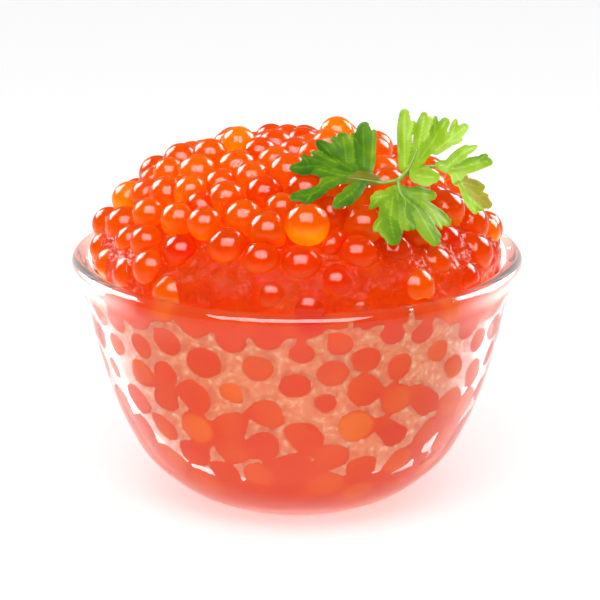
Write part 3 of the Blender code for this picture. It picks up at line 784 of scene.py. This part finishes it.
def pressed_eggs(wall, way, places, radii, tints):
    """How deep behind each point of the wall the first egg lies, and that egg's tint."""
    depth = np.full(len(wall), GAP_DEPTH)
    tint = np.full(len(wall), TINT_MEAN)
    wall_gap, _ = wall_depth(places, *inner_wall_line())
    for index in np.nonzero(wall_gap < WALL_EGG_REACH * radii)[0]:
        offset = places[index] - wall
        forward = (offset * way).sum(axis=1)
        aside = (offset ** 2).sum(axis=1) - forward ** 2
        reach = forward - np.sqrt(np.maximum(radii[index] ** 2 - aside, 0.0))
        over = (aside < radii[index] ** 2) & (reach < depth)
        depth = np.where(over, reach, depth)
        tint = np.where(over, tints[index], tint)
    return depth, tint


def wall_skin_piece(places, radii, tints):
    """The roe that meets the glass: each egg pressed flat on the wall, with liquid or air between them."""
    wall, way = wall_lattice()
    depth, tint = pressed_eggs(wall, way, places, radii, tints)
    tint += np.clip(depth / WET_TINT, 0.0, 1.0) * (TINT_MEAN - tint)
    dry = np.clip((depth - wet_depth(wall)) / WET_EDGE, 0.0, 1.0)
    into = INTO_GLASS + INTO_FOOT * np.clip((WET_FOOT - wall[:, 2]) / WET_FOOT, 0.0, 1.0)
    depth = -into + dry * (depth + into)
    sunk = np.minimum(depth, SKIN_STEP)
    faces = band_faces(WALL_SKIN_ROWS, WALL_SKIN_SIDES)
    faces.append(tuple(range(len(wall) - WALL_SKIN_SIDES, len(wall))))
    piece = mesh_object("roe_at_glass", wall + sunk[:, None] * way, [face[::-1] for face in faces])
    paint(piece, "depth", depth)
    paint(piece, "tint", tint)
    # Painted glow, stronger towards the foot.
    paint(piece, "glow", SKIN_PAINTED_GLOW + FOOT_PAINTED_GLOW * np.clip(1.0 - wall[:, 2] / WET_HEIGHT, 0.0, 1.0) ** 2)
    return piece


def inner_dome(name, depth_wanted, top):
    """A skin inside the heap's outline, as deep as wanted at each place, up to a share of the dome."""
    angles = np.linspace(0.0, 2 * math.pi, CORE_SIDES, endpoint=False)
    slopes = np.linspace(0.0, 0.5 * math.pi * top, CORE_RINGS + 1)
    reach = DOME_RADIUS * np.cos(slopes)[:, None]
    height = np.repeat(DOME_BASE - CORE_SKIRT + DOME_RISE * np.sin(slopes)[:, None], CORE_SIDES, axis=1)
    places = np.stack([reach * np.cos(angles), DOME_SHIFT + reach * np.sin(angles), height], axis=2)
    places = places.reshape(-1, 3)
    for _ in range(SKIN_PASSES):
        depth, out = dome_depth(places)
        places = places - (depth_wanted(places) - depth)[:, None] * out
    return mesh_object(name, places, band_faces(CORE_RINGS + 1, CORE_SIDES))


def core_depth(places):
    """The mass of roe lies under the dome's two layers of eggs."""
    return np.full(len(places), CORE_DEPTH)


def liquid_depth(places):
    """The liquid between the eggs stands highest low down at the front, and sinks away upwards and behind."""
    x, y, z = places.T
    behind = 0.5 + 0.5 * np.sin(np.arctan2(y, x - LIQUID_SIDE))
    across = np.sin(RIPPLE_ACROSS[0] * x + RIPPLE_ACROSS[1] * z)
    ripple = across + np.sin(RIPPLE_DOWN[0] * x + RIPPLE_DOWN[1] * z + RIPPLE_DOWN[2])
    height = np.clip((z - DOME_BASE) / LIQUID_RISE, 0.0, 2.0)
    return LIQUID_DEPTH + LIQUID_SINK * height ** 2 + LIQUID_BEHIND * behind + LIQUID_RIPPLE * ripple


def leaf_piece(name, start, facing, lobes):
    """A thin wavy leaflet with two faces, which is thinner at its edge."""
    toothed = lobes + TEETH[name]
    flat, faces = clipped_leaf(toothed)
    middle = leaf_surface(flat[:, 0], flat[:, 1], start, facing)
    gap, rib = lobe_field(flat[:, 0], flat[:, 1], toothed)
    front = leaf_frame(facing)[2]
    half = 0.5 * LEAF_THICKNESS * np.clip(-gap / LEAF_EDGE, LEAF_EDGE_LEAST, 1.0)[:, None] * front
    count = len(middle)
    edges = {(a, b) for face in faces for a, b in zip(face, face[1:] + face[:1])}
    solid_faces = list(faces) + [(c + count, b + count, a + count) for a, b, c in faces]
    for a, b in sorted(edges):
        if (b, a) not in edges:
            solid_faces += [(b, a, a + count), (b, a + count, b + count)]
    piece = mesh_object("leaflet_" + name, np.vstack([middle + half, middle - half]), solid_faces)
    vein = np.exp(-(rib / VEIN_WIDTH) ** 2) * np.clip(-gap / VEIN_FADE, 0.0, 1.0)
    side, lobe = folds(flat, lobes)
    tone = LEAF_TONES[name] - 0.5 * LEAF_CLOUD + VEIN_TONE * vein
    # Painted shade of a fold: one side of each lobe's midrib lighter, the other darker.
    tone += FOLD_PAINTED_SHADE * side + LOBE_TONE * np.sin(LOBE_TONE_STEP * lobe)
    paint(piece, "tone", np.concatenate([tone, tone + UNDERSIDE_TONE]))
    paint(piece, "brown", np.tile(np.isin(lobe, BROWN_LOBES.get(name, ())), 2))
    return piece


def folds(flat, lobes):
    """The side of its lobe's midrib that a leaf point lies on, from -1 to 1, and the lobe's number."""
    u, v = flat.T
    least = np.full(len(flat), OFF_THE_LEAF)
    side = np.zeros(len(flat))
    nearest = np.zeros(len(flat))
    for number, lobe in enumerate(lobes):
        u0, v0, u1, v1, half = lobe
        du, dv = u1 - u0, v1 - v0
        _, away = along_lobe(u, v, lobe)
        across = ((u - u0) * dv - (v - v0) * du) / (math.hypot(du, dv) * half)
        side = np.where(away < least, np.clip(across, -1.0, 1.0), side)
        nearest = np.where(away < least, number, nearest)
        least = np.minimum(least, away)
    return side, nearest


def rib_piece(name, points, start, facing):
    """A round rib from the joint out along a leaflet."""
    flat = np.array(points)
    along = leaf_surface(flat[:, 0], flat[:, 1], start, facing)
    line = smooth_line([SPRIG_JOINT] + list(along), RIB_STEPS)
    places = []
    for index, place in enumerate(line):
        ahead = Vector(line[min(index + 1, len(line) - 1)] - line[max(index - 1, 0)]).normalized()
        side = ahead.cross(Vector(facing)).normalized()
        other = ahead.cross(side)
        radius = RIB_RADIUS * (1.0 - RIB_TAPER * index / len(line))
        for step in range(RIB_SIDES):
            angle = 2 * math.pi * step / RIB_SIDES
            places.append(tuple(Vector(place) + radius * (math.cos(angle) * side + math.sin(angle) * other)))
    faces = [tuple(reversed(range(RIB_SIDES)))] + band_faces(len(line), RIB_SIDES)
    faces.append(tuple(range(len(places) - RIB_SIDES, len(places))))
    return mesh_object(name, places, faces)


def new_material(name, **values):
    """A material with its shader's own sockets set; a colour is written as three numbers."""
    material = bpy.data.materials.new(name)
    material.use_nodes = True
    shader = material.node_tree.nodes["Principled BSDF"]
    for socket, value in values.items():
        if socket.endswith("Color"):
            value = (*value, 1.0)
        shader.inputs[socket.replace("_", " ")].default_value = value
    return material, material.node_tree, shader


def ramp_between(tree, source, stops):
    """A colour ramp fed by a socket; stops are (place, colour)."""
    ramp = tree.nodes.new("ShaderNodeValToRGB")
    ramp.color_ramp.elements[0].position = stops[0][0]
    ramp.color_ramp.elements[0].color = (*stops[0][1], 1.0)
    ramp.color_ramp.elements[1].position = stops[1][0]
    ramp.color_ramp.elements[1].color = (*stops[1][1], 1.0)
    for place, color in stops[2:]:
        ramp.color_ramp.elements.new(place).color = (*color, 1.0)
    tree.links.new(source, ramp.inputs["Fac"])
    return ramp.outputs["Color"]


def attribute_of(tree, name):
    """The socket that gives a painted number."""
    node = tree.nodes.new("ShaderNodeAttribute")
    node.attribute_name = name
    return node.outputs["Fac"]


def noise_of(tree, scale, detail):
    """The socket of soft noise over the surface."""
    place = tree.nodes.new("ShaderNodeTexCoord")
    noise = tree.nodes.new("ShaderNodeTexNoise")
    noise.inputs["Scale"].default_value = scale
    noise.inputs["Detail"].default_value = detail
    tree.links.new(place.outputs["Object"], noise.inputs["Vector"])
    return noise.outputs["Fac"]


def math_of(tree, operation, *terms):
    """The socket of a sum or product; each term is a socket or a number."""
    node = tree.nodes.new("ShaderNodeMath")
    node.operation = operation
    for socket, term in zip(node.inputs, terms):
        if isinstance(term, float):
            socket.default_value = term
        else:
            tree.links.new(term, socket)
    return node.outputs["Value"]


def cloudy(tree, source, scale, amount):
    """The source, a socket or a number, with soft noise added to it."""
    return math_of(tree, "MULTIPLY_ADD", noise_of(tree, scale, CLOUD_DETAIL), amount, source)


def mixed_color(tree, factor, first, second):
    """The socket of a mix of two colours; each one is a socket or three numbers."""
    mix = tree.nodes.new("ShaderNodeMix")
    mix.data_type = "RGBA"
    tree.links.new(factor, mix.inputs["Factor"])
    for name, color in (("A", first), ("B", second)):
        if isinstance(color, tuple):
            mix.inputs[name].default_value = (*color, 1.0)
        else:
            tree.links.new(color, mix.inputs[name])
    return mix.outputs["Result"]


def roughen(tree, shader, scale, height):
    """Give a material low bumps from soft noise; the height is in millimetres."""
    bump = tree.nodes.new("ShaderNodeBump")
    bump.inputs["Distance"].default_value = height * MM
    tree.links.new(noise_of(tree, scale, BUMP_DETAIL), bump.inputs["Height"])
    tree.links.new(bump.outputs["Normal"], shader.inputs["Normal"])


def colored(tree, shader, color):
    """Give a shader one colour socket, for what it reflects and for what it glows with."""
    tree.links.new(color, shader.inputs["Base Color"])
    tree.links.new(color, shader.inputs["Emission Color"])


def glass_material():
    """Clear glass whose lip glows at the sides with painted light."""
    material, tree, shader = new_material("glass", Base_Color=(1.0, 1.0, 1.0), Roughness=0.0, IOR=GLASS_IOR,
                                          Transmission_Weight=1.0, Emission_Color=PAINTED_LIP_COLOR)
    light = math_of(tree, "MULTIPLY", attribute_of(tree, "lip"), LIP_PAINTED_GLOW)
    tree.links.new(light, shader.inputs["Emission Strength"])
    return material


def egg_material(name, clear):
    """Wet roe: a tinted ball that is partly clear and partly glows from within with painted light."""
    material, tree, shader = new_material(name, Roughness=EGG_ROUGHNESS, IOR=EGG_IOR,
                                          Transmission_Weight=clear, Specular_IOR_Level=EGG_SHINE,
                                          Subsurface_Weight=1.0, Subsurface_Scale=ROE_SCATTER * MM)
    shader.inputs["Subsurface Radius"].default_value = SCATTER_COLOR
    tree.links.new(attribute_of(tree, "glow"), shader.inputs["Emission Strength"])
    cloud = cloudy(tree, attribute_of(tree, "tint"), EGG_CLOUD_SCALE, EGG_CLOUD)
    colored(tree, shader, ramp_between(tree, cloud, EGG_COLORS))
    return material


def liquid_material():
    """Thick liquid between the eggs, with a rough skin, clouds of the eggs' colours and a painted glow."""
    material, tree, shader = new_material("roe_liquid", Roughness=LIQUID_ROUGHNESS, IOR=LIQUID_IOR,
                                          Specular_IOR_Level=LIQUID_SHINE, Subsurface_Weight=1.0,
                                          Subsurface_Scale=ROE_SCATTER * MM, Emission_Strength=EGG_PAINTED_GLOW)
    cloud = cloudy(tree, LIQUID_TINT, LIQUID_CLOUD_SCALE, LIQUID_CLOUD)
    colored(tree, shader, ramp_between(tree, cloud, EGG_COLORS))
    roughen(tree, shader, LIQUID_BUMP_SCALE, LIQUID_BUMP)
    return material


def core_material():
    """The mass of roe that fills the dome, seen only through the eggs over it."""
    material, _, _ = new_material("roe_mass", Base_Color=CORE_COLOR, Roughness=CORE_ROUGHNESS)
    return material


def wall_skin_material():
    """Pressed eggs and liquid where the skin meets the glass, and gaps where it stands back, pale with
    painted highlight.
    """
    material, tree, shader = new_material("roe_pressed", Roughness=PRESSED_ROUGHNESS,
                                          Specular_IOR_Level=PRESSED_SHINE)
    # The skin glows with painted light.
    tree.links.new(attribute_of(tree, "glow"), shader.inputs["Emission Strength"])
    tinted = cloudy(tree, attribute_of(tree, "tint"), SKIN_CLOUD_SCALE, SKIN_CLOUD)
    share = math_of(tree, "MULTIPLY", attribute_of(tree, "depth"), GAP_SHARE)
    gap = cloudy(tree, share, GAP_CLOUD_SCALE, GAP_CLOUD)
    edge = tree.nodes.new("ShaderNodeMapRange")
    edge.inputs["From Max"].default_value = GAP_EDGE
    tree.links.new(attribute_of(tree, "depth"), edge.inputs["Value"])
    pressed_color = ramp_between(tree, tinted, PRESSED_COLORS)
    gap_tone_and_highlight = ramp_between(tree, gap, GAP_COLOR_AND_HIGHLIGHT_STOPS)
    colored(tree, shader, mixed_color(tree, edge.outputs["Result"], pressed_color, gap_tone_and_highlight))
    return material


def leaf_material():
    """Leaf green with clouds, low bumps, and brown patches on the lobes that have them."""
    material, tree, shader = new_material("parsley_leaf", Roughness=LEAF_ROUGHNESS,
                                          Specular_IOR_Level=LEAF_SHINE, Subsurface_Weight=LEAF_SCATTER_SHARE,
                                          Subsurface_Scale=LEAF_SCATTER * MM)
    shader.inputs["Subsurface Radius"].default_value = LEAF_SCATTER_COLOR
    tone = cloudy(tree, attribute_of(tree, "tone"), LEAF_CLOUD_SCALE, LEAF_CLOUD)
    patches = cloudy(tree, 0.0, LEAF_CLOUD_SCALE, 1.0)
    patch = math_of(tree, "MULTIPLY", attribute_of(tree, "brown"), patches)
    color = mixed_color(tree, patch, ramp_between(tree, tone, LEAF_COLORS), BROWN)
    tree.links.new(color, shader.inputs["Base Color"])
    roughen(tree, shader, LEAF_CLOUD_SCALE, LEAF_BUMP)
    return material


def stem_material():
    """Pale green stems."""
    material, _, _ = new_material("parsley_stem", Base_Color=STEM_COLOR, Roughness=LEAF_ROUGHNESS,
                                  Specular_IOR_Level=STEM_SHINE)
    return material


def dress(piece, material):
    """Give a piece its material."""
    piece.data.materials.clear()
    piece.data.materials.append(material)


def egg_tints(places):
    """Tints and painted foot light of the eggs: redder low at the front, golden by painted light on the
    flanks and crown.
    """
    rng = np.random.default_rng(SEED + 2)
    count = len(places)
    x, y, z = places.T
    aside = (x - LOW_FRONT_PLACE[0]) / LOW_FRONT_SIZE[0]
    higher = (z - LOW_FRONT_PLACE[1]) / LOW_FRONT_SIZE[1]
    low_front = np.exp(-aside ** 2 - higher ** 2) * (y < 0.0)
    # Painted light: more golden on the flanks and on the crown.
    tints = TINT_MEAN + FLANK_PAINTED_LIGHT * np.abs(x) / DOME_RADIUS - TINT_LOW_FRONT * low_front
    tints += CROWN_PAINTED_LIGHT * np.clip((z - CROWN_START) / CROWN_HEIGHT, 0.0, 1.0)
    tints += rng.normal(0.0, TINT_SPREAD, count)
    # Painted light at the foot, less of it low at the front, and most in the backlit eggs.
    glows = rng.uniform(*PAINTED_FOOT_LIGHTS, count) * (1.0 - LOW_FRONT_DIMMING * low_front)
    glows[list(BACKLIT_EGGS)] = BACKLIT_FOOT_TINT
    tints[list(BACKLIT_EGGS)] = list(BACKLIT_EGGS.values())
    tints[list(RED_EGGS)] = 0.0
    return tints, glows


def build_roe():
    """All pieces of the heap."""
    places, radii = settle_eggs()
    under, _ = dome_depth(places)
    above = places[:, 2] > DOME_BASE - EGGS_UNDER_RIM
    top = np.nonzero(above & (under < radii + TOP_LAYER_DEPTH) & above_liquid(places, radii))[0]
    following = np.nonzero(above & (under >= radii + TOP_LAYER_DEPTH) & (under < radii + NEXT_LAYER_DEPTH))[0]
    tints, glows = egg_tints(places)
    pieces = [
        (egg_piece("roe_top", top, places, radii, tints, glows), egg_material("roe_clear", EGG_CLEAR)),
        # The lower layer is redder by painted shade.
        (egg_piece("roe_below", following, places, radii, tints - BELOW_PAINTED_SHADE, glows),
         egg_material("roe_dull", 0.0)),
        (wall_skin_piece(places, radii, tints), wall_skin_material()),
        (inner_dome("roe_core", core_depth, 1.0), core_material()),
        (liquid_piece(places, radii), liquid_material()),
    ]
    for piece, material in pieces:
        dress(piece, material)
        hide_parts("roe_heap")


def build_bowl():
    """The clear bowl."""
    bowl = glass_piece()
    dress(bowl, glass_material())
    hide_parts("glass_bowl")


def build_sprig():
    """The four leaflets and their ribs."""
    leaf = leaf_material()
    stem = stem_material()
    for name, (start, facing, lobes) in LEAFLETS.items():
        piece = leaf_piece(name, start, facing, lobes)
        dress(piece, leaf)
        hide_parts("parsley_sprig")
        rib = rib_piece("rib_" + name, RIBS[name], start, facing)
        dress(rib, stem)
        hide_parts("parsley_sprig")


def area_light(name, place, aim, size, power):
    """A white soft box, placed in millimetres and turned to its aim."""
    light = bpy.data.lights.new(name, "AREA")
    light.shape = "RECTANGLE"
    light.size, light.size_y = (value * MM for value in size)
    light.energy = power
    lamp = bpy.data.objects.new(name, light)
    lamp.location = Vector(place) * MM
    lamp.rotation_euler = (Vector(aim) - Vector(place)).to_track_quat("-Z", "Y").to_euler()
    bpy.context.scene.collection.objects.link(lamp)
    return lamp


def build_floor():
    """A pale floor that glows a little, so that it fades into the white surroundings."""
    half = FLOOR_HALF * MM
    corners = [(-half, -half, 0.0), (half, -half, 0.0), (half, half, 0.0), (-half, half, 0.0)]
    mesh = bpy.data.meshes.new("floor")
    mesh.from_pydata(corners, [], [(0, 1, 2, 3)])
    floor = bpy.data.objects.new("floor", mesh)
    bpy.context.scene.collection.objects.link(floor)
    material, _, _ = new_material("floor", Base_Color=FLOOR_COLOR, Roughness=FLOOR_ROUGHNESS,
                                  Specular_IOR_Level=FLOOR_SHINE, Emission_Color=(1.0, 1.0, 1.0),
                                  Emission_Strength=FLOOR_GLOW)
    mesh.materials.append(material)


def build_lights():
    """One soft box that lights everything, and three that are seen only in what shines."""
    area_light(*KEY_LIGHT)
    for shine in SHINES:
        lamp = area_light(*shine)
        lamp.visible_diffuse = False
        lamp.visible_transmission = False


def build_world():
    """White surroundings that light dull surfaces less than they look, and shine little in mirrors."""
    world = bpy.data.worlds.new("studio")
    bpy.context.scene.world = world
    world.use_nodes = True
    tree = world.node_tree
    background = tree.nodes["Background"]
    background.inputs["Color"].default_value = (1.0, 1.0, 1.0, 1.0)
    place = tree.nodes.new("ShaderNodeTexCoord")
    axes = tree.nodes.new("ShaderNodeSeparateXYZ")
    tree.links.new(place.outputs["Generated"], axes.inputs["Vector"])
    shine = tree.nodes.new("ShaderNodeMapRange")
    shine.inputs["From Max"].default_value = BACK_DIRECTION
    shine.inputs["To Min"].default_value = FRONT_SHINE
    shine.inputs["To Max"].default_value = BACK_SHINE
    tree.links.new(axes.outputs["Y"], shine.inputs["Value"])
    path = tree.nodes.new("ShaderNodeLightPath")
    mirrored = math_of(tree, "SUBTRACT", path.outputs["Is Glossy Ray"], path.outputs["Is Transmission Ray"])
    mirrored.node.use_clamp = True
    glossy = tree.nodes.new("ShaderNodeMix")
    glossy.inputs["A"].default_value = 1.0
    tree.links.new(mirrored, glossy.inputs["Factor"])
    tree.links.new(shine.outputs["Result"], glossy.inputs["B"])
    strength = tree.nodes.new("ShaderNodeMix")
    strength.inputs["B"].default_value = SOFT_LIGHT
    tree.links.new(path.outputs["Is Diffuse Ray"], strength.inputs["Factor"])
    tree.links.new(glossy.outputs["Result"], strength.inputs["A"])
    tree.links.new(strength.outputs["Result"], background.inputs["Strength"])


def build_camera():
    """The photograph's view."""
    data = bpy.data.cameras.new("camera")
    data.lens = FOCAL_LENGTH
    data.sensor_width = SENSOR_WIDTH
    camera = bpy.data.objects.new("camera", data)
    bpy.context.scene.collection.objects.link(camera)
    tilt = math.radians(VIEW_ELEVATION)
    target = Vector(VIEW_TARGET) * MM
    camera.location = target + VIEW_DISTANCE * MM * Vector((0.0, -math.cos(tilt), math.sin(tilt)))
    camera.rotation_euler = (math.radians(90.0) - tilt, 0.0, 0.0)
    bpy.context.scene.camera = camera


def main():
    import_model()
    build_camera()
    build_world()
    build_floor()
    build_lights()
    bpy.context.scene.view_settings.view_transform = "Standard"
    build_bowl()
    build_roe()
    build_sprig()


main()
